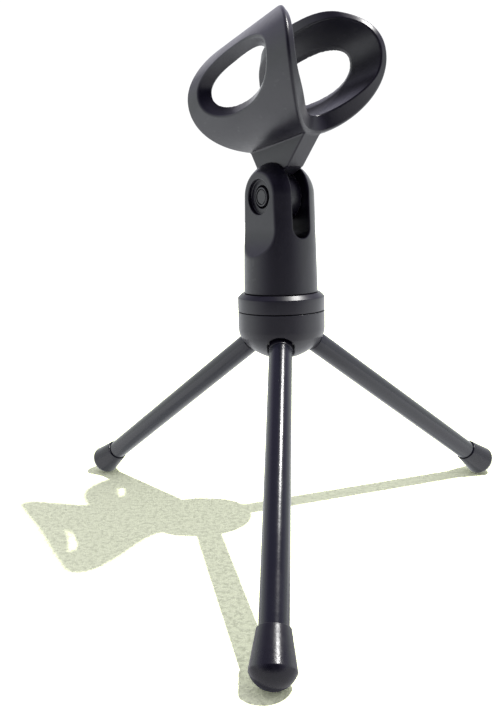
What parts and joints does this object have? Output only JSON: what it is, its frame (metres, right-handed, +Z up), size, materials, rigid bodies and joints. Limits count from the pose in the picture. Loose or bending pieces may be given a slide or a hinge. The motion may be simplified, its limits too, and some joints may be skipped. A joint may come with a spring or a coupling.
{
  "type": "folding desktop microphone stand",
  "caption": "Folding desktop tripod stand for a microphone, with a swivel barrel and a tilting open clip with windowed sides.",
  "frame": {"origin": "on the table, under the hub's vertical axis", "axes": "+Z up along the hub's axis, -Y along the front leg, +X to the right seen from the front leg's side"},
  "size_m": [0.1782, 0.1561, 0.1773],
  "materials": {
    "satin_black_plastic": "satin moulded black plastic",
    "hub_black_plastic": "semi-gloss moulded black plastic",
    "black_coated_metal": "gloss black coating on drawn tube",
    "black_rubber": "smooth moulded rubber",
    "brass": "turned brass",
    "black_screw": "blackened steel",
    "plated_steel": "zinc plated steel"
  },
  "bodies": {
    "hub": {"hub_cap": "hub_black_plastic", "hub_stud": "plated_steel", "hub_bolt": "plated_steel", "hub_body": "hub_black_plastic", "leg_pin_front": "plated_steel", "leg_pin_right": "plated_steel", "leg_pin_left": "plated_steel"},
    "barrel": {"swivel_barrel": "satin_black_plastic", "thread_insert": "brass", "pivot_screw": "black_screw", "pivot_nut": "plated_steel"},
    "clip": {"mic_clip": "satin_black_plastic"},
    "leg_front": {"leg_tube_front": "black_coated_metal", "leg_knuckle_front": "hub_black_plastic", "rubber_foot_front": "black_rubber"},
    "leg_right": {"leg_tube_right": "black_coated_metal", "leg_knuckle_right": "hub_black_plastic", "rubber_foot_right": "black_rubber"},
    "leg_left": {"leg_tube_left": "black_coated_metal", "leg_knuckle_left": "hub_black_plastic", "rubber_foot_left": "black_rubber"}
  },
  "joints": [
    {"name": "barrel_swivel", "type": "hinge", "parent": "hub", "child": "barrel", "pos_m": [0, 0, 0.08595], "axis": [0, 0, 1], "range_deg": [-180, 180]},
    {"name": "clip_tilt", "type": "hinge", "parent": "barrel", "child": "clip", "pos_m": [0, 0, 0.119], "axis": [0.7604, 0.6494, 0], "range_deg": [-80, 85]},
    {"name": "leg_front_fold", "type": "hinge", "parent": "hub", "child": "leg_front", "pos_m": [0, -0.0095, 0.0701], "axis": [1, 0, 0], "range_deg": [0, 53.4]},
    {"name": "leg_right_fold", "type": "hinge", "parent": "hub", "child": "leg_right", "pos_m": [0.00823, 0.00475, 0.0701], "axis": [-0.5, 0.866, 0], "range_deg": [0, 53.4]},
    {"name": "leg_left_fold", "type": "hinge", "parent": "hub", "child": "leg_left", "pos_m": [-0.00823, 0.00475, 0.0701], "axis": [-0.5, -0.866, 0], "range_deg": [0, 53.4]}
  ]
}
